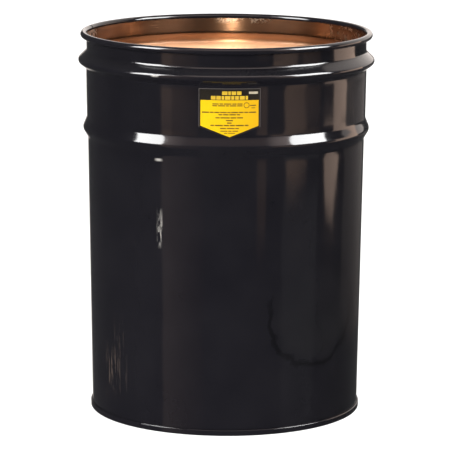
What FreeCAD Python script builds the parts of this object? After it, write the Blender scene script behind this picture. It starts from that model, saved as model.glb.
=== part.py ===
import FreeCAD, Part
import math
import os

# Open-top steel waste drum, about 30 US gallons. Millimetres, +Z up.
# The origin is on the drum's axis, at the level of the ring that the drum stands on.
# The label faces -Y.

# Sheet steel
SHEET = 0.9
LINING = 0.12
HALF = SHEET / 2

# Body, outside radii and heights
HEIGHT = 654.0
RIM_R = 249.6
CURL_R = 5.5
CURL_LAST_TURN = math.radians(50)
NECK_R = 239.4
UPPER_WALL_TOP_R = 240.1
UPPER_WALL_LOW_R = 239.0
LOWER_WALL_TOP_R = 237.2
SEAM_WALL_R = 230.2
STRAIGHT_END = 20.0

# Upper bead: a round ridge below the neck
BEAD = {"crest_r": 253.4, "crest_z": 605.0, "bend": 6.0, "up": math.radians(46), "down": math.radians(52)}
BEAD_TOP_BEND = 7.0
BEAD_LOW_BEND = 4.0

# Rolling hoop: a broad, shallow ridge
HOOP = {"crest_r": 245.2, "crest_z": 489.3, "bend": 9.0, "up": math.radians(22), "down": math.radians(30)}
HOOP_TOP_BEND = 12.0
HOOP_LOW_BEND = 14.0

# Double seam at the bottom, and the head that it holds
SEAM_GAP = 0.03
LAYER = SHEET + SEAM_GAP
SEAM_TOP = 9.8
SEAM_CORNER = 1.3
BODY_HOOK_TOP = 8.3
END_HOOK_LOW = 4.2
PANEL_Z = 19.0
PANEL_CORNER = 6.0
PANEL_STEP = 3.0
PANEL_STEP_R = 168.0
PANEL_STEP_RUN = 9.0
PANEL_STEP_BEND = 7.0

# Side weld, round from +X
WELD_WIDTH = 4.0
WELD_PROUD = 0.15
WELD_ANGLE = 165.0
WELD_LOW = 12.0
WELD_TOP = 640.0

# Adhesive label, on the upper wall
LABEL_X = 5.5
LABEL_WIDTH = 101.2
LABEL_TOP = 587.5
LABEL_SHOULDER = 523.5
LABEL_TIP = 503.9
LABEL_BORDER = 3.0
HEADER_BOTTOM = 568.2
FILM = 0.1
INK = 0.05
LABEL_SECTOR = 30.0

# Print rows: centre x from the label's middle, centre z, length and height
HEADER_ROWS = [(3.5, 579.9, 31.8, 5.8), (-0.2, 572.2, 60.5, 6.2)]
TAG_ROW = (39.0, 580.4, 14.7, 3.8)
SMALL_ROWS = [
    (-3.4, 562.0, 49.3, 1.8),
    (-3.4, 559.0, 49.3, 1.8),
    (-0.8, 548.1, 88.4, 2.1),
    (-0.4, 544.3, 35.2, 2.0),
    (-0.4, 539.1, 45.0, 2.0),
    (0.0, 534.6, 11.5, 2.0),
    (-0.3, 530.5, 7.4, 2.0),
    (0.0, 526.4, 62.4, 2.2),
    (0.1, 521.5, 31.1, 1.9),
    (-0.3, 517.0, 28.8, 1.6),
    (0.2, 513.6, 18.0, 1.4),
    (38.4, 559.5, 9.6, 1.8),
    (38.9, 555.4, 6.0, 1.3),
]
RING = (27.9, 559.8, 4.8, 3.7)
WORD_PITCH = 10.0
WORD_GAP = 1.3
HEADER_PITCH = 8.0


def ridge(crest_r, crest_z, bend, up, down, wall_above, wall_below):
    """Corners of a ridge: where its upper flank meets the wall, its peak, and its lower foot.

    The flanks lean from the vertical by up and down, and touch a crest arc of radius bend.
    """
    reach = bend / math.cos((up + down) / 2)
    tilt = (up - down) / 2
    peak_r = crest_r - bend + reach * math.cos(tilt)
    peak_z = crest_z + reach * math.sin(tilt)
    top_z = peak_z + (peak_r - wall_above) / math.tan(up)
    low_z = peak_z - (peak_r - wall_below) / math.tan(down)
    return (wall_above, top_z), (peak_r, peak_z), (wall_below, low_z)


def curl_path():
    """The rolled rim, from the sheet's free edge under the roll to the top of the neck."""
    roll = CURL_R - HALF
    centre_r = RIM_R - CURL_R
    centre_z = HEIGHT - CURL_R
    tuck = roll * math.tan(CURL_LAST_TURN / 2)
    end_r = centre_r - tuck - tuck * math.cos(CURL_LAST_TURN)
    end_z = centre_z - roll + tuck * math.sin(CURL_LAST_TURN)
    return [
        (end_r, end_z, 0),
        (centre_r - tuck, centre_z - roll, roll),
        (centre_r + roll, centre_z - roll, roll),
        (centre_r + roll, centre_z + roll, roll),
        (centre_r - roll, centre_z + roll, roll),
    ]


def wall_path():
    """Middle of the body sheet from the neck's bead down to the start of the seam."""
    bead_up, bead_peak, bead_low = ridge(
        BEAD["crest_r"] - HALF, BEAD["crest_z"], BEAD["bend"], BEAD["up"], BEAD["down"],
        NECK_R - HALF, UPPER_WALL_TOP_R - HALF)
    hoop_up, hoop_peak, hoop_low = ridge(
        HOOP["crest_r"] - HALF, HOOP["crest_z"], HOOP["bend"], HOOP["up"], HOOP["down"],
        UPPER_WALL_LOW_R - HALF, LOWER_WALL_TOP_R - HALF)
    return [
        (*bead_up, BEAD_TOP_BEND),
        (*bead_peak, BEAD["bend"]),
        (*bead_low, BEAD_LOW_BEND),
        (*hoop_up, HOOP_TOP_BEND),
        (*hoop_peak, HOOP["bend"]),
        (*hoop_low, HOOP_LOW_BEND),
        (SEAM_WALL_R - HALF, STRAIGHT_END, 30),
    ]


def body_path():
    """Middle of the whole body sheet, ending in the body hook inside the double seam."""
    wall_r = SEAM_WALL_R - HALF
    bend = LAYER
    hook_low = SHEET + SEAM_GAP + HALF
    seam = [
        (wall_r, hook_low, bend),
        (wall_r + 2 * bend, hook_low, bend),
        (wall_r + 2 * bend, BODY_HOOK_TOP, 0),
    ]
    return curl_path() + wall_path() + seam


def panel_path(outer_r):
    """Middle of the head's panel from its centre to the start of its corner."""
    return [
        (0, PANEL_Z - HALF - PANEL_STEP, 0),
        (PANEL_STEP_R, PANEL_Z - HALF - PANEL_STEP, PANEL_STEP_BEND),
        (PANEL_STEP_R + PANEL_STEP_RUN, PANEL_Z - HALF, PANEL_STEP_BEND),
        (outer_r, PANEL_Z - HALF, PANEL_CORNER),
    ]


def head_path():
    """Middle of the head sheet: panel, chuck wall, seaming wall and end hook."""
    chuck_r = SEAM_WALL_R - HALF - LAYER
    seaming_r = chuck_r + 4 * LAYER
    hook_r = chuck_r + 2 * LAYER
    return panel_path(chuck_r) + [
        (chuck_r, HALF, SEAM_CORNER),
        (seaming_r, HALF, SEAM_CORNER),
        (seaming_r, SEAM_TOP - HALF, LAYER),
        (hook_r, SEAM_TOP - HALF, LAYER),
        (hook_r, END_HOOK_LOW, 0),
    ]


def unit(start, end):
    """Unit direction from start to end."""
    length = math.hypot(end[0] - start[0], end[1] - start[1])
    return ((end[0] - start[0]) / length, (end[1] - start[1]) / length)


def point(r, z):
    """A point of a section, which lies in the XZ plane."""
    return FreeCAD.Vector(r, 0, z)


def beside(at, along, offset):
    """The point at a distance to the left of a direction."""
    return point(at[0] - along[1] * offset, at[1] + along[0] * offset)


def rounded(before, corner, after, offset):
    """Start, middle and end of the arc that rounds a corner, moved sideways by offset."""
    bend = corner[2]
    come = unit(before, corner)
    go = unit(corner, after)
    turn = math.atan2(come[0] * go[1] - come[1] * go[0], come[0] * go[0] + come[1] * go[1])
    back = bend * math.tan(abs(turn) / 2)
    start = (corner[0] - come[0] * back, corner[1] - come[1] * back)
    end = (corner[0] + go[0] * back, corner[1] + go[1] * back)
    half = unit((0, 0), (come[0] + go[0], come[1] + go[1]))
    side = math.copysign(1, turn)
    centre = (start[0] - come[1] * bend * side, start[1] + come[0] * bend * side)
    middle = (centre[0] + half[1] * bend * side, centre[1] - half[0] * bend * side)
    return beside(start, come, offset), beside(middle, half, offset), beside(end, go, offset)


def edge_line(path, offset):
    """Edges of one side of a sheet whose middle follows a rounded path."""
    edges = []
    last = beside(path[0], unit(path[0], path[1]), offset)
    for before, corner, after in zip(path, path[1:], path[2:]):
        start, middle, end = rounded(before, corner, after, offset)
        if last.distanceToPoint(start) > 1e-4:
            edges.append(Part.LineSegment(last, start).toShape())
        else:
            start = last
        edges.append(Part.Arc(start, middle, end).toShape())
        last = end
    finish = beside(path[-1], unit(path[-2], path[-1]), offset)
    if last.distanceToPoint(finish) > 1e-4:
        edges.append(Part.LineSegment(last, finish).toShape())
    return edges


def section(path, right, left):
    """Face between two lines beside a path, closed by straight ends."""
    one = edge_line(path, right)
    two = edge_line(path, left)
    start = Part.LineSegment(one[0].firstVertex().Point, two[0].firstVertex().Point).toShape()
    finish = Part.LineSegment(one[-1].lastVertex().Point, two[-1].lastVertex().Point).toShape()
    wire = Part.Wire(Part.__sortEdges__(one + two + [start, finish]))
    return Part.Face(wire)


def turned(face, start_angle=0.0, sweep=360.0):
    """Solid of a section turned about the drum's axis."""
    axis = FreeCAD.Vector(0, 0, 1)
    origin = FreeCAD.Vector(0, 0, 0)
    placed = face.copy()
    placed.rotate(origin, axis, start_angle)
    return placed.revolve(origin, axis, sweep)


def band(r_in, r_out, z_low, z_high):
    """Rectangular section between two radii and two heights."""
    corners = [point(r_in, z_low), point(r_out, z_low), point(r_out, z_high), point(r_in, z_high)]
    return Part.Face(Part.makePolygon(corners + corners[:1]))


def weld_band():
    """The narrow upright slot in the body sheet that the side weld fills."""
    sweep = math.degrees(WELD_WIDTH / NECK_R)
    return turned(band(SEAM_WALL_R - 10, RIM_R + 10, WELD_LOW, WELD_TOP), WELD_ANGLE, sweep)


def body_shell():
    """Rolled body sheet, open along its side seam."""
    shell = turned(section(body_path(), -HALF, HALF))
    return shell.cut(weld_band())


def side_seam_weld():
    """Pressed weld strip between the sheet's edges, a little proud on the outside."""
    sweep = math.degrees(WELD_WIDTH / NECK_R)
    strip = turned(section(body_path(), -HALF, HALF + WELD_PROUD), WELD_ANGLE, sweep)
    return strip.common(weld_band())


def bottom_head():
    """Pressed head: countersunk panel with a stiffening step, and the outer folds of the seam."""
    return turned(section(head_path(), -HALF, HALF))


def seaming_compound():
    """Ring of sealant inside the seam, between the end hook and the bottom of the body hook."""
    low_z = 2 * SHEET + SEAM_GAP + 0.6
    return turned(band(SEAM_WALL_R + 0.05, SEAM_WALL_R + LAYER - 0.02, low_z, END_HOOK_LOW - 0.05))


def body_lining():
    """Baked lacquer on the inside of the body, from under the rim to the head's corner."""
    neck = (RIM_R - 2 * CURL_R + HALF, HEIGHT - CURL_R - 2.0, 0)
    foot = (SEAM_WALL_R - HALF, PANEL_Z - PANEL_CORNER + 2.0, 0)
    path = [neck] + wall_path() + [foot]
    return turned(section(path, -HALF - LINING, -HALF))


def bottom_lining():
    """Baked lacquer on the head's panel, ending part of the way round its corner."""
    last_turn = math.radians(55)
    start_r = SEAM_WALL_R - HALF - LAYER - PANEL_CORNER
    reach = PANEL_CORNER * math.tan(last_turn / 2)
    panel = panel_path(start_r + reach)
    end_r = start_r + reach + reach * math.cos(last_turn)
    end_z = PANEL_Z - HALF - reach * math.sin(last_turn)
    return turned(section(panel + [(end_r, end_z, 0)], HALF, HALF + LINING))


def upper_wall_skin(near, far):
    """Part of a thin layer on the outside of the upper wall and of the hoop's upper flank."""
    bead_foot, hoop_top, hoop_peak = wall_path()[2:5]
    path = [(*bead_foot[:2], 0), hoop_top, (*hoop_peak[:2], 0)]
    layer = section(path, HALF + near, HALF + far)
    return turned(layer, -90 - LABEL_SECTOR / 2, LABEL_SECTOR)


def prism(outline):
    """Upright plate through the label's side of the wall, from an outline seen from the front."""
    corners = [FreeCAD.Vector(LABEL_X + x, -RIM_R - 10, z) for x, z in outline]
    face = Part.Face(Part.makePolygon(corners + corners[:1]))
    return face.extrude(FreeCAD.Vector(0, 80, 0))


def shield(margin, top, low=None):
    """Outline of the label drawn in by a margin, cut off at a height if low is given."""
    half_width = LABEL_WIDTH / 2 - margin
    if low is not None:
        return [(-half_width, low), (half_width, low), (half_width, top), (-half_width, top)]
    rise = (LABEL_SHOULDER - LABEL_TIP) / (LABEL_WIDTH / 2)
    tip = LABEL_TIP + margin * math.hypot(1, rise)
    shoulder = tip + rise * half_width
    return [(-half_width, top), (-half_width, shoulder), (0, tip), (half_width, shoulder), (half_width, top)]


def bar(row):
    """Outline of one bar of print."""
    x, z, length, height = row
    return [
        (x - length / 2, z - height / 2),
        (x + length / 2, z - height / 2),
        (x + length / 2, z + height / 2),
        (x - length / 2, z + height / 2),
    ]


def words(row, pitch):
    """A row of print split into bars of uneven length, about one for each pitch."""
    x, z, length, height = row
    count = max(1, round(length / pitch))
    shares = [1 + 0.4 * math.sin(2.4 * number + z) for number in range(count)]
    room = length - WORD_GAP * (count - 1)
    left = x - length / 2
    bars = []
    for share in shares:
        width = room * share / sum(shares)
        bars.append((left + width / 2, z, width, height))
        left += width + WORD_GAP
    return bars


def printed(skin, rows, pitch):
    """Rows of print as separate thin solids."""
    bars = [part for row in rows for part in words(row, pitch)]
    return Part.makeCompound([skin.common(prism(bar(part))) for part in bars])


def seal_ring():
    """Round tube that cuts the plain ring out of the ink layer."""
    x, z, outer_r, inner_r = RING
    start = FreeCAD.Vector(LABEL_X + x, -RIM_R - 10, z)
    along = FreeCAD.Vector(0, 1, 0)
    return Part.makeCylinder(outer_r, 80, start, along).cut(Part.makeCylinder(inner_r, 80, start, along))


def label_parts():
    """The label: its film, two printed fields, and plain bars in place of words."""
    film = upper_wall_skin(0.01, FILM)
    field = upper_wall_skin(FILM, FILM + INK)
    ink = upper_wall_skin(FILM + INK, FILM + 2 * INK)
    small = printed(ink, SMALL_ROWS, WORD_PITCH)
    ring = ink.common(seal_ring())
    return {
        "label_film": film.common(prism(shield(0, LABEL_TOP))),
        "label_header": field.common(prism(shield(LABEL_BORDER, LABEL_TOP - LABEL_BORDER, HEADER_BOTTOM))),
        "label_yellow_field": field.common(prism(shield(LABEL_BORDER, HEADER_BOTTOM))),
        "label_title_bars": printed(ink, HEADER_ROWS, HEADER_PITCH),
        "label_tag_bar": printed(ink, [TAG_ROW], WORD_PITCH),
        "label_small_print": Part.makeCompound([small, ring]),
    }


def all_parts():
    """Every piece of the drum by name."""
    parts = {
        "body_shell": body_shell(),
        "side_seam_weld": side_seam_weld(),
        "bottom_head": bottom_head(),
        "seaming_compound": seaming_compound(),
        "body_lining": body_lining(),
        "bottom_lining": bottom_lining(),
    }
    parts.update(label_parts())
    return parts


os.makedirs("parts", exist_ok=True)
for name, shape in all_parts().items():
    solids = shape.Solids
    shape = solids[0] if len(solids) == 1 else Part.makeCompound(solids)
    shape.exportStep("parts/" + name + ".step")
    print(name, len(solids), "solids", round(shape.Volume / 1000, 2), "cm3", shape.isValid())
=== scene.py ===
import math

import bmesh
import bpy
from mathutils import Matrix, Vector, noise


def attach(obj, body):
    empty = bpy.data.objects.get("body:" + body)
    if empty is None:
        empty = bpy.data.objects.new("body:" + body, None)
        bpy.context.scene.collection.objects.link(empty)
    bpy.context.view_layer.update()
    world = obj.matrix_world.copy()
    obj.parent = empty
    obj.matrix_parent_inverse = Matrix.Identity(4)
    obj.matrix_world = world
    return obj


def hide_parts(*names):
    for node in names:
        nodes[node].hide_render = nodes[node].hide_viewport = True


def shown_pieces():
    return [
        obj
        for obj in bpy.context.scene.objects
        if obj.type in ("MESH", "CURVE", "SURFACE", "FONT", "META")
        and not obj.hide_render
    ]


# Open-top steel waste drum. The drum's sheet-metal sections are rebuilt here at a finer grain
# than the CAD meshes, from the same dimensions as the CAD source. Sections are in millimetres.

MM = 0.001
SHEET = 0.9
HALF = SHEET / 2
LINING = 0.12

HEIGHT = 654.0
RIM_R = 249.6
CURL_R = 5.5
CURL_LAST_TURN = math.radians(50)
NECK_R = 239.4
UPPER_WALL_TOP_R = 240.1
UPPER_WALL_LOW_R = 239.0
LOWER_WALL_TOP_R = 237.2
SEAM_WALL_R = 230.2
STRAIGHT_END = 20.0
STRAIGHT_BEND = 30.0

BEAD = {
    "crest_r": 253.4,
    "crest_z": 605.0,
    "bend": 6.0,
    "up": math.radians(46),
    "down": math.radians(52),
}
BEAD_TOP_BEND = 7.0
BEAD_LOW_BEND = 4.0
HOOP = {
    "crest_r": 245.2,
    "crest_z": 489.3,
    "bend": 9.0,
    "up": math.radians(22),
    "down": math.radians(30),
}
HOOP_TOP_BEND = 12.0
HOOP_LOW_BEND = 14.0

SEAM_GAP = 0.03
LAYER = SHEET + SEAM_GAP
SEAM_TOP = 9.8
SEAM_CORNER = 1.3
BODY_HOOK_TOP = 8.3
END_HOOK_LOW = 4.2
PANEL_Z = 19.0
PANEL_CORNER = 6.0
PANEL_STEP = 3.0
PANEL_STEP_R = 168.0
PANEL_STEP_RUN = 9.0
PANEL_STEP_BEND = 7.0
LINING_LIP = 2.0
LINING_LAST_TURN = math.radians(55)

WELD_WIDTH = 4.0
WELD_PROUD = 0.15
WELD_START = 165.0
WELD_SWEEP = math.degrees(WELD_WIDTH / NECK_R)
WELD_FOOT = 12.0
WELD_SEGMENTS = 6

SEGMENTS = 288
ARC_STEP = math.radians(9)
RUN_STEP = 9.0
MERGE = 1e-3
AXIS_REACH = 1e-6
SHARP = math.radians(40)

# Unevenness of the rolled wall, which shows in its reflections
WAVE = 0.22
WAVE_REACH = 60.0
WAVE_FLATTENED = 0.45
RIPPLE = 0.05
RIPPLE_REACH = 17.0
RIPPLE_SHIFT = 400.0
EVEN_FOOT = 12.0
EVEN_FOOT_FADE = 40.0
EVEN_TOP = 8.0
EVEN_TOP_FADE = 30.0

# The label's place on the wall, and how far round it the wall stays even
LABEL_X = 5.5
LABEL_Z = 546.0
LABEL_HALF_WIDE = 56.0
LABEL_HALF_HIGH = 47.0
LABEL_FADE = 30.0


# Sections

def ridge(shape, wall_above, wall_below):
    """A ridge's three corners: where the wall leaves for it, its peak, and where the wall goes on."""
    crest_r, crest_z = shape["crest_r"] - HALF, shape["crest_z"]
    up, down, bend = shape["up"], shape["down"], shape["bend"]
    reach = bend / math.cos((up + down) / 2)
    tilt = (up - down) / 2
    peak_r = crest_r - bend + reach * math.cos(tilt)
    peak_z = crest_z + reach * math.sin(tilt)
    top_z = peak_z + (peak_r - wall_above) / math.tan(up)
    low_z = peak_z - (peak_r - wall_below) / math.tan(down)
    return (wall_above, top_z), (peak_r, peak_z), (wall_below, low_z)


def curl_path():
    """The rolled edge, from its tucked end round to the neck."""
    roll = CURL_R - HALF
    centre_r, centre_z = RIM_R - CURL_R, HEIGHT - CURL_R
    tuck = roll * math.tan(CURL_LAST_TURN / 2)
    end_r = centre_r - tuck - tuck * math.cos(CURL_LAST_TURN)
    end_z = centre_z - roll + tuck * math.sin(CURL_LAST_TURN)
    return [
        (end_r, end_z, 0),
        (centre_r - tuck, centre_z - roll, roll),
        (centre_r + roll, centre_z - roll, roll),
        (centre_r + roll, centre_z + roll, roll),
        (centre_r - roll, centre_z + roll, roll),
    ]


def wall_path():
    """The wall, from above the bead to the straight part by the bottom seam."""
    bead_up, bead_peak, bead_low = ridge(BEAD, NECK_R - HALF, UPPER_WALL_TOP_R - HALF)
    hoop_up, hoop_peak, hoop_low = ridge(HOOP, UPPER_WALL_LOW_R - HALF, LOWER_WALL_TOP_R - HALF)
    return [
        (*bead_up, BEAD_TOP_BEND),
        (*bead_peak, BEAD["bend"]),
        (*bead_low, BEAD_LOW_BEND),
        (*hoop_up, HOOP_TOP_BEND),
        (*hoop_peak, HOOP["bend"]),
        (*hoop_low, HOOP_LOW_BEND),
        (SEAM_WALL_R - HALF, STRAIGHT_END, STRAIGHT_BEND),
    ]


def body_path():
    """The whole rolled sheet, from its curl to the hook in the bottom seam."""
    wall_r = SEAM_WALL_R - HALF
    hook_low = SHEET + SEAM_GAP + HALF
    return curl_path() + wall_path() + [
        (wall_r, hook_low, LAYER),
        (wall_r + 2 * LAYER, hook_low, LAYER),
        (wall_r + 2 * LAYER, BODY_HOOK_TOP, 0),
    ]


def panel_path(outer_r):
    """The bottom panel, from the axis over its step to its outer corner."""
    return [
        (0, PANEL_Z - HALF - PANEL_STEP, 0),
        (PANEL_STEP_R, PANEL_Z - HALF - PANEL_STEP, PANEL_STEP_BEND),
        (PANEL_STEP_R + PANEL_STEP_RUN, PANEL_Z - HALF, PANEL_STEP_BEND),
        (outer_r, PANEL_Z - HALF, PANEL_CORNER),
    ]


def head_path():
    """The whole pressed head, folded round the body's hook at its edge."""
    chuck_r = SEAM_WALL_R - HALF - LAYER
    seaming_r = chuck_r + 4 * LAYER
    hook_r = chuck_r + 2 * LAYER
    return panel_path(chuck_r) + [
        (chuck_r, HALF, SEAM_CORNER),
        (seaming_r, HALF, SEAM_CORNER),
        (seaming_r, SEAM_TOP - HALF, LAYER),
        (hook_r, SEAM_TOP - HALF, LAYER),
        (hook_r, END_HOOK_LOW, 0),
    ]


def body_lining_path():
    """The wall's lining, from under the curl to the bottom panel's corner."""
    neck = (RIM_R - 2 * CURL_R + HALF, HEIGHT - CURL_R - LINING_LIP, 0)
    foot = (SEAM_WALL_R - HALF, PANEL_Z - PANEL_CORNER + LINING_LIP, 0)
    return [neck] + wall_path() + [foot]


def bottom_lining_path():
    """The bottom panel's lining, which ends part way round the panel's corner."""
    start_r = SEAM_WALL_R - HALF - LAYER - PANEL_CORNER
    reach = PANEL_CORNER * math.tan(LINING_LAST_TURN / 2)
    end_r = start_r + reach + reach * math.cos(LINING_LAST_TURN)
    end_z = PANEL_Z - HALF - reach * math.sin(LINING_LAST_TURN)
    return panel_path(start_r + reach) + [(end_r, end_z, 0)]


def traced(path):
    """Points and left-hand normals along a rounded path, close together in arcs and runs."""
    spots = []
    last = Vector(path[0][:2])
    for before, corner, after in zip(path, path[1:], path[2:]):
        at = Vector(corner[:2])
        come = (at - Vector(before[:2])).normalized()
        go = (Vector(after[:2]) - at).normalized()
        turn = math.atan2(come.x * go.y - come.y * go.x, come.dot(go))
        side = math.copysign(1, turn)
        start = at - come * corner[2] * math.tan(abs(turn) / 2)
        left = Vector((-come.y, come.x))
        centre = start + left * corner[2] * side
        spots += run_points(last, start, left)
        count = max(2, math.ceil(abs(turn) / ARC_STEP))
        for step in range(count + 1):
            normal = Matrix.Rotation(turn * step / count, 2) @ left
            spots.append((centre - normal * corner[2] * side, normal))
        last = spots[-1][0]
    end = Vector(path[-1][:2])
    go = (end - last).normalized()
    normal = Vector((-go.y, go.x))
    spots += run_points(last, end, normal)
    spots.append((end, normal))
    clean = [spots[0]]
    for spot in spots[1:]:
        if (spot[0] - clean[-1][0]).length > MERGE:
            clean.append(spot)
    return clean


def run_points(start, end, normal):
    """Points along a straight run, without its end."""
    count = max(1, math.ceil((end - start).length / RUN_STEP))
    return [(start.lerp(end, step / count), normal) for step in range(count)]


# Meshes

def label_clear(x, y, z):
    """0 under the label and 1 away from it, so that the label lies on an even wall."""
    if y > 0:
        return 1.0
    reach = max(abs(x - LABEL_X) - LABEL_HALF_WIDE, abs(z - LABEL_Z) - LABEL_HALF_HIGH, 0)
    return min(1.0, reach / LABEL_FADE)


def unevenness(angle, z):
    """How far the rolled wall is off round, inwards, at an angle and height in millimetres."""
    x, y = NECK_R * math.cos(angle), NECK_R * math.sin(angle)
    low = noise.noise(Vector((x, y, WAVE_FLATTENED * z)) / WAVE_REACH)
    high = noise.noise(Vector((x, y, z + RIPPLE_SHIFT)) / RIPPLE_REACH)
    from_foot = min(1.0, max(0.0, (z - EVEN_FOOT) / EVEN_FOOT_FADE))
    from_top = min(1.0, max(0.0, (HEIGHT - EVEN_TOP - z) / EVEN_TOP_FADE))
    inwards = WAVE * (low - 1) / 2 + RIPPLE * (high - 1) / 2
    return inwards * (from_foot * from_top) * label_clear(x, y, z)


def turned(name, path, right, left, start=0.0, sweep=360.0, segments=SEGMENTS, uneven=True):
    """A sheet that follows a path, turned about the axis, as one closed mesh with metre UVs."""
    spots = traced(path)
    closed = sweep >= 360.0
    rings = segments if closed else segments + 1
    mesh = bmesh.new()
    uv = mesh.loops.layers.uv.new("UVMap")
    along = [0.0]
    for (a, _), (b, _) in zip(spots, spots[1:]):
        along.append(along[-1] + (b - a).length)
    grid = []
    for ring in range(rings):
        angle = math.radians(start + sweep * ring / segments)
        columns = []
        for offset in (left, right):
            column = []
            for point, normal in spots:
                r = point.x + normal.x * offset
                z = point.y + normal.y * offset
                if uneven:
                    r += unevenness(angle, point.y)
                at = (r * math.cos(angle) * MM, r * math.sin(angle) * MM, z * MM)
                column.append(mesh.verts.new(at))
            columns.append(column)
        grid.append(columns)

    def quad(corners, places):
        face = mesh.faces.new(corners)
        face.smooth = True
        for loop, place in zip(face.loops, places):
            loop[uv].uv = (place[0] * MM, place[1] * MM)

    step = math.radians(sweep) * NECK_R / segments
    last = len(spots) - 1
    for ring in range(segments):
        here, there = grid[ring], grid[(ring + 1) % rings]
        u0, u1 = ring * step, (ring + 1) * step
        for i in range(last):
            a, b = along[i], along[i + 1]
            quad((here[0][i], there[0][i], there[0][i + 1], here[0][i + 1]),
                 ((u0, a), (u1, a), (u1, b), (u0, b)))
            quad((here[1][i + 1], there[1][i + 1], there[1][i], here[1][i]),
                 ((u0, b), (u1, b), (u1, a), (u0, a)))
        for i, order in ((0, 1), (last, -1)):
            corners = (here[1][i], there[1][i], there[0][i], here[0][i])
            a = along[i]
            quad(corners[::order], ((u0, a), (u1, a), (u1, a), (u0, a))[::order])
    if not closed:
        for (outer, inner), order in ((grid[0], 1), (grid[-1], -1)):
            for i in range(last):
                a, b = along[i], along[i + 1]
                corners = (outer[i], outer[i + 1], inner[i + 1], inner[i])
                quad(corners[::order], ((0, a), (0, b), (0, b), (0, a))[::order])
    axis = [v for v in mesh.verts if math.hypot(v.co.x, v.co.y) < AXIS_REACH]
    bmesh.ops.remove_doubles(mesh, verts=axis, dist=AXIS_REACH)
    bmesh.ops.recalc_face_normals(mesh, faces=mesh.faces)
    data = bpy.data.meshes.new(name)
    mesh.to_mesh(data)
    mesh.free()
    data.set_sharp_from_angle(angle=SHARP)
    piece = bpy.data.objects.new(name, data)
    bpy.context.scene.collection.objects.link(piece)
    return piece


# Node materials

# Sockets of a colour Mix node, which repeats their names for each data type
MIX_SHARE = 0
MIX_A = 6
MIX_B = 7
MIX_COLOUR = 2

# Colours, in linear red, green and blue. A pair is two close tones of one finish.
ENAMEL = ((0.0075, 0.0071, 0.0096), (0.0105, 0.0099, 0.0126))
DUST = (0.06, 0.055, 0.05)
RING_INSIDE = (0.030, 0.030, 0.029)
RING_EDGE = (0.001, 0.001, 0.001)
LACQUER = ((0.53, 0.295, 0.16), (0.60, 0.34, 0.19))
LACQUER_DROPS = (0.30, 0.15, 0.07)
LACQUER_GRAIN = (0.42, 0.23, 0.12)
LACQUER_NECK_SHADE = (0.10, 0.052, 0.030)
DEEP_SHADE = (0.045, 0.022, 0.012)
CHIPPED_AND_GLINT = (0.78, 0.62, 0.47)
SEALANT = ((0.20, 0.19, 0.17), (0.30, 0.29, 0.26))
FILM = ((0.013, 0.011, 0.010), (0.019, 0.016, 0.014))
FILM_EDGE = (0.095, 0.084, 0.080)
HEADER_INK = ((0.014, 0.011, 0.008), (0.022, 0.018, 0.013))
YELLOW_INK = ((0.80, 0.53, 0.001), (0.77, 0.49, 0.001))
YELLOW_RIGHT_TONE = (0.72, 0.385, 0.001)
TITLE_INK = ((0.72, 0.47, 0.03), (0.60, 0.38, 0.03))
TAG_INK = ((0.55, 0.49, 0.36), (0.45, 0.38, 0.26))
PRINT_INK = ((0.12, 0.065, 0.010), (0.19, 0.11, 0.015))
GRIME = (0.05, 0.04, 0.02)
FLOOR_PAINT = ((0.80, 0.80, 0.80), (0.84, 0.84, 0.84))

# Scuffs and a whitish streak on the wall, and two painted highlights: where, how ragged, and colour.
# Where is an azimuth and a width in degrees and the lowest and highest point in metres; how ragged is
# the cover and the streaks' length.
WHITISH = (0.55, 0.52, 0.48)
TAN = (0.085, 0.062, 0.050)
SCUFFS_AND_GLINTS = (
    ((-27.7, 2.0, 0.325, 0.372), (0.46, 45.0), WHITISH),
    # These two are painted highlights, under the hoop and on the bead.
    ((-28.0, 2.6, 0.462, 0.466), (0.30, 60.0), WHITISH),
    ((-27.6, 2.4, 0.604, 0.607), (0.30, 60.0), WHITISH),
    ((-56.0, 10.0, 0.050, 0.120), (0.52, 20.0), TAN),
    ((-50.0, 6.0, 0.060, 0.170), (0.55, 14.0), TAN),
    ((62.0, 3.0, 0.505, 0.560), (0.56, 14.0), TAN),
    ((142.0, 7.0, 0.150, 0.330), (0.58, 9.0), TAN),
    ((-118.0, 9.0, 0.060, 0.210), (0.58, 9.0), TAN),
)
STREAK_SCALE = 220.0

# The ring low on the wall: its middle's azimuth and height, and its half width and half height
RING_AZIMUTH = 42.0
RING_HEIGHT = 0.207
RING_WIDE = 24.0
RING_HIGH = 0.092
RING_EDGE_SHARE = 0.55
RING_INSIDE_SHARE = 0.14

# Pale places at the lining's top edge, chipped at the first and painted reflections at the other two:
# azimuth, width in degrees, lowest point and cover
LIP_CHIPS_AND_GLINTS = (
    (173.0, 13.0, 0.636, 0.50),
    (-100.0, 10.0, 0.618, 0.44),
    (118.0, 16.0, 0.600, 0.56),
)
LIP_PATCH_FADE = 0.012

# Heights on the lining: the neck's foot, above which the neck is smoother and painted darker as
# shade, and where the painted shade deep in the drum starts and is full
NECK_FOOT = 0.612
NECK_FOOT_ROUGH = 0.610
NECK_CLEAR = 0.622
DEEP_SHADE_START = 0.588
DEEP_SHADE_FULL = 0.545
LINING_METAL = 0.75

# The label film's pale cut edge: the film's middle, and where the edge starts beside and above
FILM_CENTRE = 0.0055
FILM_SIDE = 0.0499
FILM_TOP = 0.5867
FILM_EDGE_FADE = 0.0004


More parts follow.
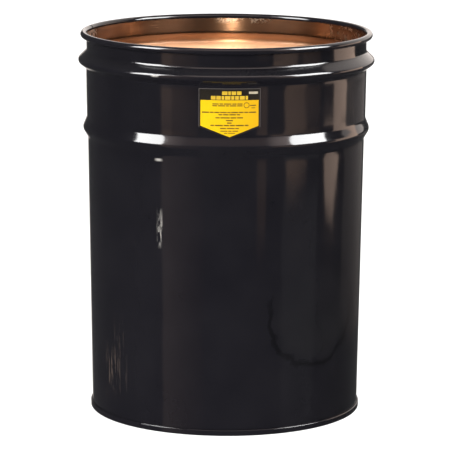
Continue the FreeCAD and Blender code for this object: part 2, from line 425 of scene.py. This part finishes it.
class Nodes:
    """A material's node tree, with short calls for what the finishes here share."""

    def __init__(self, name):
        self.material = bpy.data.materials.new(name)
        self.material.use_nodes = True
        self.tree = self.material.node_tree
        self.shader = self.tree.nodes["Principled BSDF"]

    def node(self, kind, inputs=None, **settings):
        made = self.tree.nodes.new(kind)
        for key, value in settings.items():
            setattr(made, key, value)
        for key, value in (inputs or {}).items():
            if isinstance(value, bpy.types.NodeSocket):
                self.tree.links.new(value, made.inputs[key])
            else:
                made.inputs[key].default_value = value
        return made

    def place(self, scale=(1, 1, 1), output="Object"):
        coordinates = self.node("ShaderNodeTexCoord").outputs[output]
        return self.node("ShaderNodeMapping", {"Vector": coordinates, "Scale": scale}).outputs[0]

    def axes(self, vector):
        return self.node("ShaderNodeSeparateXYZ", {0: vector}).outputs

    def noise(self, place, scale, detail=3.0, rough=0.5, warp=0.0):
        inputs = {
            "Vector": place,
            "Scale": scale,
            "Detail": detail,
            "Roughness": rough,
            "Distortion": warp,
        }
        return self.node("ShaderNodeTexNoise", inputs).outputs["Fac"]

    def ramp(self, value, low, high, to_low=0.0, to_high=1.0):
        inputs = {
            "Value": value,
            "From Min": low,
            "From Max": high,
            "To Min": to_low,
            "To Max": to_high,
        }
        return self.node("ShaderNodeMapRange", inputs).outputs[0]

    def math(self, operation, a, b=0.0):
        return self.node("ShaderNodeMath", {0: a, 1: b}, operation=operation).outputs[0]

    def mix(self, share, a, b):
        """A mix of two colours, each a socket or red, green and blue."""
        made = self.node("ShaderNodeMix", data_type="RGBA")
        for socket, value in ((MIX_SHARE, share), (MIX_A, a), (MIX_B, b)):
            if isinstance(value, bpy.types.NodeSocket):
                self.tree.links.new(value, made.inputs[socket])
            elif isinstance(value, tuple):
                made.inputs[socket].default_value = (*value, 1)
            else:
                made.inputs[socket].default_value = value
        return made.outputs[MIX_COLOUR]

    def bump(self, height, strength, distance, under=None):
        inputs = {"Height": height, "Strength": strength, "Distance": distance}
        if under is not None:
            inputs["Normal"] = under
        return self.node("ShaderNodeBump", inputs).outputs[0]

    def finish(self, colour=None, roughness=None, normal=None, **fixed):
        for key, value in (("Base Color", colour), ("Roughness", roughness), ("Normal", normal)):
            if isinstance(value, bpy.types.NodeSocket):
                self.tree.links.new(value, self.shader.inputs[key])
            elif value is not None:
                self.shader.inputs[key].default_value = value
        for key, value in fixed.items():
            self.shader.inputs[key.replace("_", " ")].default_value = value
        return self.material


def around(n, place):
    """Azimuth in degrees, 0 at the label's side and 90 to its right, and height in metres."""
    x, y, height = n.axes(place)
    angle = n.math("ARCTAN2", x, n.math("MULTIPLY", y, -1.0))
    return n.math("MULTIPLY", angle, math.degrees(1)), height


def window(n, value, low, high, soft):
    """1 between two values and 0 outside them, with soft ends."""
    above = n.ramp(value, low - soft, low + soft)
    below = n.ramp(value, high + soft, high - soft)
    return n.math("MULTIPLY", above, below)


def ragged_streaks(n, place, azimuth, wide, low, high, cover, grain):
    """Share of a ragged patch of thin upright streaks."""
    angle, height = around(n, place)
    patch = window(n, angle, azimuth - wide / 2, azimuth + wide / 2, wide * 0.3)
    patch = n.math("MULTIPLY", patch, window(n, height, low, high, (high - low) * 0.25))
    lines = n.noise(n.place((1, 1, grain / STREAK_SCALE)), STREAK_SCALE, 4.0, 0.65, 0.4)
    return n.math("MULTIPLY", patch, n.ramp(lines, cover, cover + 0.12, 0.0, 0.75))


def ring_mark(n, place):
    """A ring low on the wall: its thin dark edge, and the paler, duller area inside."""
    angle, height = around(n, place)
    stray = n.ramp(n.noise(place, 14.0, 4.0, 0.6), 0.2, 0.8, -0.20, 0.20)
    across = n.math("DIVIDE", n.math("SUBTRACT", angle, RING_AZIMUTH), RING_WIDE)
    upright = n.math("DIVIDE", n.math("SUBTRACT", height, RING_HEIGHT), RING_HIGH)
    across_squared = n.math("MULTIPLY", across, across)
    upright_squared = n.math("MULTIPLY", upright, upright)
    reach = n.math("SQRT", n.math("ADD", across_squared, upright_squared))
    reach = n.math("ADD", reach, stray)
    ring = n.math("MULTIPLY", window(n, reach, 0.96, 1.04, 0.04), n.ramp(upright, 0.5, -0.1))
    film = n.math("MULTIPLY", n.ramp(reach, 1.0, 0.75), n.ramp(upright, 1.0, -0.6))
    return ring, film


def enamel(name, worn_and_glinting=False):
    """Baked gloss enamel: near black, with orange peel, haze and settled dust, and, if asked, scuffs,
    a whitish streak, two painted highlights and a darker ring.
    """
    n = Nodes(name)
    place = n.place()
    haze = n.noise(place, 9.0, 4.0, 0.6)
    fine = n.noise(place, 620.0, 2.0)
    specks = n.noise(place, 900.0, 2.0, 0.5)
    up = n.axes(n.node("ShaderNodeNewGeometry").outputs["Normal"])[2]
    dust = n.math("MULTIPLY", n.ramp(up, 0.35, 1.0), n.ramp(specks, 0.5, 0.75))
    colour = n.mix(n.ramp(haze, 0.35, 0.7), *ENAMEL)
    colour = n.mix(n.math("MULTIPLY", dust, 0.35), colour, DUST)
    rough = n.math("ADD", n.ramp(haze, 0.3, 0.75, 0.07, 0.12), n.math("MULTIPLY", dust, 0.2))
    if worn_and_glinting:
        # Scuffs and a whitish streak, and two thin painted highlights, in the tones listed.
        for where, ragged, tone in SCUFFS_AND_GLINTS:
            share = ragged_streaks(n, place, *where, *ragged)
            colour = n.mix(share, colour, tone)
            rough = n.math("ADD", rough, n.math("MULTIPLY", share, 0.4))
        ring, film = ring_mark(n, place)
        colour = n.mix(n.math("MULTIPLY", film, RING_INSIDE_SHARE), colour, RING_INSIDE)
        colour = n.mix(n.math("MULTIPLY", ring, RING_EDGE_SHARE), colour, RING_EDGE)
        rough = n.math("ADD", rough, n.math("MULTIPLY", film, 0.04))
    peel = n.bump(fine, 0.05, 0.0004)
    dents = n.bump(n.noise(n.place((1, 1, 0.6)), 16.0, 2.0, 0.4), 0.12, 0.004, peel)
    return n.finish(colour, rough, dents, IOR=1.36)


def lip_chips_and_glints(n, place):
    """Share of pale patches at the top edge: bare, chipped lacquer at one place and painted
    reflections at the other two.
    """
    angle, height = around(n, place)
    ragged = n.noise(place, 95.0, 5.0, 0.7, 0.6)
    worn_and_glinting = 0.0
    for azimuth, wide, low, cover in LIP_CHIPS_AND_GLINTS:
        turn = n.math("SUBTRACT", angle, azimuth)
        apart = n.node("ShaderNodeMath", {0: turn, 1: 180.0, 2: -180.0}, operation="WRAP")
        apart = n.math("ABSOLUTE", apart.outputs[0])
        beside = n.ramp(apart, wide, wide * 0.5)
        near = n.math("MULTIPLY", beside, n.ramp(height, low, low + LIP_PATCH_FADE))
        patch = n.math("MULTIPLY", near, n.ramp(ragged, cover, cover + 0.04))
        worn_and_glinting = n.math("MAXIMUM", worn_and_glinting, patch)
    return worn_and_glinting


def lacquer(name):
    """Gold-tan lacquer over rolled steel, whose grain runs round the drum, with painted shade on the
    neck and below the bead, and chips and painted reflections at the top edge.
    """
    n = Nodes(name)
    place = n.place((1, 1, 1), "UV")
    grain = n.noise(n.place((14, 700, 1), "UV"), 1.0, 3.0, 0.6)
    cloud = n.noise(place, 11.0, 4.0, 0.6, 0.3)
    drops = n.noise(place, 260.0, 2.0, 0.5)
    colour = n.mix(n.ramp(cloud, 0.3, 0.7), *LACQUER)
    colour = n.mix(n.ramp(drops, 0.68, 0.75, 0.0, 0.35), colour, LACQUER_DROPS)
    colour = n.mix(n.ramp(grain, 0.3, 0.7, 0.0, 0.2), colour, LACQUER_GRAIN)
    dull = n.ramp(cloud, 0.3, 0.75, 0.28, 0.33)
    rough = n.math("ADD", dull, n.ramp(grain, 0.3, 0.7, -0.02, 0.03))
    spot = n.place()
    worn_and_glinting = lip_chips_and_glints(n, spot)
    height = n.axes(spot)[2]
    # Painted shade: the neck above the bead is darkened towards a dark brown.
    colour = n.mix(n.ramp(height, NECK_FOOT, NECK_CLEAR, 0.0, 0.52), colour, LACQUER_NECK_SHADE)
    # Painted shade: darker below the bead, along a ragged line, deep in the drum.
    streaks = n.noise(n.place((24, 24, 3)), 1.0, 4.0, 0.6, 0.5)
    edge = n.math("ADD", height, n.ramp(streaks, 0.2, 0.8, -0.03, 0.03))
    colour = n.mix(n.ramp(edge, DEEP_SHADE_START, DEEP_SHADE_FULL, 0.0, 0.88), colour, DEEP_SHADE)
    # Pale patches at the top edge: chipped lacquer, and painted reflections.
    colour = n.mix(worn_and_glinting, colour, CHIPPED_AND_GLINT)
    metal = n.math("MULTIPLY", n.math("SUBTRACT", 1.0, worn_and_glinting), LINING_METAL)
    n.tree.links.new(metal, n.shader.inputs["Metallic"])
    rough = n.math("ADD", rough, n.math("MULTIPLY", worn_and_glinting, 0.25))
    rough = n.math("ADD", rough, n.ramp(height, NECK_FOOT_ROUGH, NECK_CLEAR, 0.14, -0.07))
    tangent = n.node("ShaderNodeTangent", direction_type="UV_MAP", uv_map="UVMap")
    n.tree.links.new(tangent.outputs[0], n.shader.inputs["Tangent"])
    ripple = n.bump(n.noise(place, 30.0, 2.0, 0.5), 0.08, 0.003)
    return n.finish(colour, rough, n.bump(grain, 0.05, 0.0002, ripple), Anisotropic=0.85,
                    Anisotropic_Rotation=0.25, Coat_Weight=0.6, Coat_Roughness=0.08, Coat_IOR=1.4)


def sealant(name):
    """Grey rubbery seaming compound."""
    n = Nodes(name)
    lumps = n.noise(n.place(), 300.0, 3.0, 0.6)
    colour = n.mix(n.ramp(lumps, 0.3, 0.7), *SEALANT)
    rough = n.ramp(lumps, 0.3, 0.7, 0.6, 0.8)
    return n.finish(colour, rough, n.bump(lumps, 0.4, 0.0003), Specular_IOR_Level=0.3)


def vinyl(name, tones, rough=0.3, grime=0.0, right_tone=None, edged=False):
    """Printed vinyl: two close tones of one ink, with grime, and a darker tone towards the right or a
    pale edge if asked.
    """
    n = Nodes(name)
    place = n.place()
    blot = n.noise(place, 55.0, 4.0, 0.6)
    grain = n.noise(place, 2200.0, 2.0, 0.5)
    colour = n.mix(n.ramp(blot, 0.3, 0.7), *tones)
    if right_tone:
        colour = n.mix(n.ramp(n.axes(place)[0], -0.03, 0.06), colour, right_tone)
    soil = n.ramp(n.noise(place, 180.0, 3.0, 0.7), 0.62, 0.8, 0.0, grime)
    colour = n.mix(soil, colour, GRIME)
    if edged:
        side, _, up = n.axes(place)
        off_centre = n.math("ABSOLUTE", n.math("SUBTRACT", side, FILM_CENTRE))
        edge = n.math("MAXIMUM", n.ramp(off_centre, FILM_SIDE - FILM_EDGE_FADE, FILM_SIDE),
                      n.ramp(up, FILM_TOP - FILM_EDGE_FADE, FILM_TOP))
        colour = n.mix(edge, colour, FILM_EDGE)
    gloss = n.ramp(blot, 0.3, 0.7, rough, rough + 0.1)
    return n.finish(colour, gloss, n.bump(grain, 0.06, 0.0001), IOR=1.3)


def painted(piece, material):
    piece.data.materials.clear()
    piece.data.materials.append(material)


# Pieces

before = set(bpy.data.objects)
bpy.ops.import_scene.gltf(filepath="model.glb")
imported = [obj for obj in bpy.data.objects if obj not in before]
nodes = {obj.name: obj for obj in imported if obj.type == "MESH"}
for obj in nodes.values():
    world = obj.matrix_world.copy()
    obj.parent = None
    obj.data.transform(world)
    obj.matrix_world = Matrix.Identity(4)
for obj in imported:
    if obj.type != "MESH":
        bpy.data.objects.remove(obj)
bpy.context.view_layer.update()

gold = lacquer("gold_lacquer")
pieces = [
    (turned("body_sheet", body_path(), -HALF, HALF, WELD_START + WELD_SWEEP, 360 - WELD_SWEEP),
     "body_shell", "black_enamel", enamel("black_enamel", worn_and_glinting=True)),
    (turned("side_weld", wall_path() + [(SEAM_WALL_R - HALF, WELD_FOOT, 0)],
            -HALF, HALF + WELD_PROUD, WELD_START, WELD_SWEEP, WELD_SEGMENTS),
     "side_seam_weld", "black_enamel_weld", enamel("black_enamel_weld")),
    (turned("bottom_head_sheet", head_path(), -HALF, HALF, uneven=False),
     "bottom_head", "black_enamel_head", enamel("black_enamel_head")),
    (turned("body_lacquer", body_lining_path(), -HALF - LINING, -HALF),
     "body_lining", "gold_lacquer", gold),
    (turned("bottom_lacquer", bottom_lining_path(), HALF, HALF + LINING, uneven=False),
     "bottom_lining", "gold_lacquer_bottom", gold),
]
for piece, node, slot, material in pieces:
    painted(piece, material)
    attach(piece, "root")
    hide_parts(node)

print_finishes = {
    "seaming_compound": sealant("seam_sealant"),
    "label_film": vinyl("label_film", FILM, edged=True),
    "label_header": vinyl("label_black", HEADER_INK),
    "label_yellow_field": vinyl("label_yellow", YELLOW_INK, grime=0.12, right_tone=YELLOW_RIGHT_TONE),
    "label_title_bars": vinyl("label_title", TITLE_INK, grime=0.4),
    "label_tag_bar": vinyl("label_white", TAG_INK, grime=0.5),
    "label_small_print": vinyl("label_print", PRINT_INK, rough=0.35),
}
for name, material in print_finishes.items():
    painted(nodes[name], material)

# Stage, lights and camera

FLOOR_SIZE = 40.0
DRUM_MIDDLE = Vector((0, 0, 0.45))
CARD_DISTANCE = 3.0

WHITE = (1.0, 1.0, 1.0)
BROWN = (1.0, 0.66, 0.47)

CAMERA_AT = Vector((-0.0009, -5.0855, 1.2797))
CAMERA_PITCH = 0.1874
CAMERA_ROLL = math.radians(0.3)
CAMERA_LENS = 239.6
CAMERA_SENSOR = 36.0
CAMERA_CLIP_END = 200.0


def shown_to(thing, diffuse, glossy):
    """Hides a lamp or card from the camera, and says what else sees it."""
    thing.visible_camera = False
    thing.visible_diffuse = diffuse
    thing.visible_glossy = glossy


def direction(azimuth, elevation):
    """Azimuth 0 is towards the camera, and 90 to its right."""
    a, e = math.radians(azimuth), math.radians(elevation)
    return Vector((math.sin(a) * math.cos(e), -math.cos(a) * math.cos(e), math.sin(e)))


def from_drum(azimuth, elevation, distance):
    return direction(azimuth, elevation) * distance + DRUM_MIDDLE


def added(name, data):
    thing = bpy.data.objects.new(name, data)
    bpy.context.scene.collection.objects.link(thing)
    return thing


def collected(name, things):
    group = bpy.data.collections.new(name)
    for thing in things:
        group.objects.link(thing)
    return group


def softbox(name, azimuth, elevation, distance, wide, high, radiance, colour=WHITE, lights=None):
    """Soft light seen only in reflections, its width and height given as angles from the drum."""
    light = bpy.data.lights.new(name, "AREA")
    light.shape = "RECTANGLE"
    light.size = 2 * distance * math.tan(math.radians(wide / 2))
    light.size_y = 2 * distance * math.tan(math.radians(high / 2))
    light.energy = radiance * math.pi * light.size * light.size_y
    light.color = colour
    lamp = added(name, light)
    lamp.location = from_drum(azimuth, elevation, distance)
    lamp.rotation_euler = (lamp.location - DRUM_MIDDLE).to_track_quat("Z", "Y").to_euler()
    shown_to(lamp, diffuse=False, glossy=True)
    if lights is not None:
        lamp.light_linking.receiver_collection = lights


def card(name, corners, colour):
    """Glowing card seen only in reflections; a corner is an azimuth, an elevation and a radiance."""
    places = [from_drum(azimuth, elevation, CARD_DISTANCE) for azimuth, elevation, _ in corners]
    data = bpy.data.meshes.new(name)
    data.from_pydata(places, [], [range(len(corners))])
    levels = data.attributes.new("level", "FLOAT", "POINT")
    levels.data.foreach_set("value", [level for *_, level in corners])
    n = Nodes(name)
    glow = n.node("ShaderNodeAttribute", attribute_name="level").outputs["Fac"]
    emission = n.node("ShaderNodeEmission", {"Color": (*colour, 1), "Strength": glow})
    n.tree.links.new(emission.outputs[0], n.tree.nodes["Material Output"].inputs[0])
    plane = added(name, data)
    painted(plane, n.material)
    shown_to(plane, diffuse=False, glossy=True)
    plane.visible_shadow = False


def sun(name, azimuth, elevation, spread, strength, lights, shadow=True):
    """Far light, which doesn't show in reflections."""
    light = bpy.data.lights.new(name, "SUN")
    light.energy = strength
    light.angle = math.radians(spread)
    light.use_shadow = shadow
    lamp = added(name, light)
    lamp.rotation_euler = direction(azimuth, elevation).to_track_quat("Z", "Y").to_euler()
    shown_to(lamp, diffuse=True, glossy=False)
    lamp.light_linking.receiver_collection = lights


def floor():
    """Plain pale floor, which neither shows in the gloss nor takes a shadow."""
    n = Nodes("floor_paint")
    tone = n.mix(n.noise(n.place(), 3.0, 3.0), *FLOOR_PAINT)
    n.finish(tone, 0.9, Specular_IOR_Level=0.1)
    data = bpy.data.meshes.new("floor")
    s = FLOOR_SIZE / 2
    data.from_pydata([(-s, -s, 0), (s, -s, 0), (s, s, 0), (-s, s, 0)], [], [(0, 1, 2, 3)])
    plane = added("floor", data)
    painted(plane, n.material)
    plane.visible_glossy = False
    plane.visible_shadow = False
    return plane


def sky(seen, reflected):
    """Even surroundings: white to the camera, and dimmer in reflections and as light."""
    world = bpy.data.worlds.new("studio")
    bpy.context.scene.world = world
    world.use_nodes = True
    tree = world.node_tree
    tree.nodes.clear()
    path = tree.nodes.new("ShaderNodeLightPath")
    mix = tree.nodes.new("ShaderNodeMixShader")
    out = tree.nodes.new("ShaderNodeOutputWorld")
    for socket, strength in ((1, reflected), (2, seen)):
        back = tree.nodes.new("ShaderNodeBackground")
        back.inputs["Color"].default_value = (*WHITE, 1)
        back.inputs["Strength"].default_value = strength
        tree.links.new(back.outputs[0], mix.inputs[socket])
    tree.links.new(path.outputs["Is Camera Ray"], mix.inputs[0])
    tree.links.new(mix.outputs[0], out.inputs[0])


def camera(location, pitch, roll, lens):
    """Looks along +Y, pitched down, then rolled so that the picture turns clockwise."""
    data = bpy.data.cameras.new("camera")
    data.lens = lens
    data.sensor_width = CAMERA_SENSOR
    data.clip_end = CAMERA_CLIP_END
    rig = added("camera", data)
    right = Vector((1, 0, 0))
    up = Vector((0, math.sin(pitch), math.cos(pitch)))
    back = Vector((0, -math.cos(pitch), math.sin(pitch)))
    x = right * math.cos(roll) + up * math.sin(roll)
    y = up * math.cos(roll) - right * math.sin(roll)
    turned_axes = Matrix((x, y, back)).transposed().to_4x4()
    rig.matrix_world = Matrix.Translation(location) @ turned_axes
    bpy.context.scene.camera = rig


metal = [piece for piece, *_ in pieces]
steel, linings = metal[:3], metal[3:]
enamelled = collected("enamelled", steel)
inside = collected("inside", linings)
inside_wall = collected("inside_wall", linings[:1])
outside = collected("outside", [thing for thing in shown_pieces() if thing not in linings])
ground = collected("ground", [floor()])

sky(1.0, 0.07)

# Azimuth, elevation and spread in degrees, and strength
sun("floor_light", 0, 86, 50, 5.0, ground, shadow=False)
sun("overhead", 0, 86, 50, 3.7, outside)
sun("front", -25, 22, 20, 2.6, outside)
sun("inside_sun", 50, 82, 40, 0.8, inside)

# Azimuth, elevation, distance, width and height in degrees, and radiance
softbox("inside_top", 4, 68, 3.0, 110, 40, 8.0, lights=inside_wall)
softbox("key_left", -64, 31, 3.0, 25, 36, 38, lights=enamelled)
softbox("key_right", 70, 31, 3.0, 32, 36, 38, lights=enamelled)
softbox("front_top", 6, 60, 3.0, 50, 28, 3.0, (1.0, 0.85, 0.78), lights=enamelled)
softbox("inside_patch", -5, 27, 3.0, 6, 30, 82.0, (1.0, 0.86, 0.70), lights=inside_wall)
softbox("backdrop", 150, 28, 4.0, 80, 50, 1.6, (1.0, 0.9, 0.84))

# Brown bands on the left, in front and on the right, which fade towards one side or low down
card("band_left", [(-52, 6, 1.6), (-43, 6, 1.4), (-43, -8, 1.1), (-52, -8, 1.2)], BROWN)
card("band_left_soft", [(-43, 6, 0.7), (-22, 6, 0.5), (-22, -8, 0.2), (-43, -8, 0.7)], BROWN)
card("band_left_low", [(-52, -8, 0.6), (-18, -8, 0.1), (-18, -28, 0.1), (-52, -28, 0.55)],
     (1.0, 0.78, 0.70))
card("band_front", [(24, -5, 1.1), (33, -5, 1.3), (32, -14, 0.3), (25, -15, 0.2)], BROWN)
card("band_right", [(36, 6, 1.8), (55, 6, 1.3), (58, -4.6, 1.2), (64, -4.9, 1.4), (68, -10.3, 1.5),
                    (50, -11.6, 1.7), (45, -4.9, 1.7), (37, -4.6, 1.9)], BROWN)
card("band_right_soft", [(60, 6, 0.7), (80, 6, 0.4), (80, -7.9, 0.3), (64, -7.9, 0.7)], BROWN)
card("band_right_low", [(47, -11, 0.25), (80, -11, 0.25), (76, -28, 0.1), (47, -28, 0.15)], WHITE)

# Tall panel on the right of the drum, narrower and further forward low down
card("panel_right", [(94, 12, 3.3), (127, 12, 3.5), (126, -4, 3.4), (117, -5, 3.2),
                     (115, -7.9, 2.6), (105, -8.3, 3.6), (103, -10.5, 3.6), (97, -12.6, 3.0),
                     (89, -12.3, 3.3), (84, -8.4, 3.6), (84, -8.1, 3.6), (95, -7.9, 3.3)],
     (1.0, 0.73, 0.58))
card("dim_right", [(112, -5, 0.35), (155, -5, 0.35), (155, -18, 0.12), (112, -18, 0.12)],
     (1.0, 0.9, 0.85))

# Pale band behind the drum
card("band_back", [(166, 8, 1.2), (196, 8, 0.9), (200, -28, 0.4), (166, -28, 0.5)],
     (1.0, 0.92, 0.86))

# Glow above the front, brighter at both ends, for the slopes of the hoop and bead
card("front_glow", [(-34, 20, 0.5), (34, 20, 0.5), (34, 46, 1.5), (-34, 46, 1.5)],
     (1.0, 0.74, 0.66))
card("glow_left", [(-52, 14, 3.0), (-34, 14, 0.6), (-34, 46, 1.5), (-52, 46, 4.0)],
     (1.0, 0.80, 0.74))
card("glow_right", [(34, 14, 0.6), (54, 14, 4.0), (54, 46, 5.0), (34, 46, 1.5)],
     (1.0, 0.80, 0.74))

camera(CAMERA_AT, CAMERA_PITCH, CAMERA_ROLL, CAMERA_LENS)
bpy.context.scene.view_settings.view_transform = "Standard"
